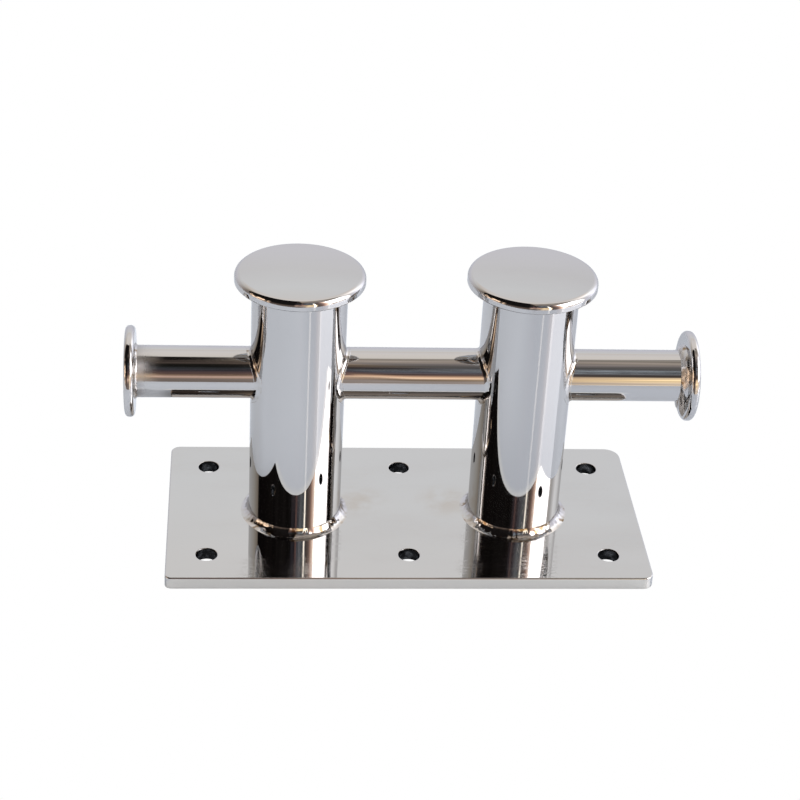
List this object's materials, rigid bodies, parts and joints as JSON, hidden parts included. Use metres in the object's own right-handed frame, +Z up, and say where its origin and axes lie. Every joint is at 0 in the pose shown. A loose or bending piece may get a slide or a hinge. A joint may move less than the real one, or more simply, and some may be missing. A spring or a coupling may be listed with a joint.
{
  "type": "mooring bollard post",
  "caption": "Twin-post mooring bollard on a bolt-down base plate, with capped posts and a crossbar that ends in stop discs.",
  "frame": {"origin": "centre of the base plate's underside, on the deck surface", "axes": "+Z up the posts, +X along the crossbar towards the right-hand disc, +Y from front to back across the plate"},
  "size_m": [0.35, 0.15, 0.18],
  "materials": {
    "polished_plate": "mirror-polished stainless steel plate with fine wiping scratches",
    "polished_tube": "mirror-polished stainless steel tube",
    "weld_bead": "polished stainless steel weld bead, slightly uneven"
  },
  "bodies": {
    "root": {"base_plate": "polished_plate", "crossbar": "polished_tube", "post_left": "polished_tube", "cap_left": "polished_plate", "end_disc_left": "polished_plate", "weld_base_left": "weld_bead", "weld_cap_left": "weld_bead", "weld_bar_left_outer": "weld_bead", "weld_bar_left_inner": "weld_bead", "weld_disc_left": "weld_bead", "post_right": "polished_tube", "cap_right": "polished_plate", "end_disc_right": "polished_plate", "weld_base_right": "weld_bead", "weld_cap_right": "weld_bead", "weld_bar_right_outer": "weld_bead", "weld_bar_right_inner": "weld_bead", "weld_disc_right": "weld_bead"}
  },
  "joints": []
}
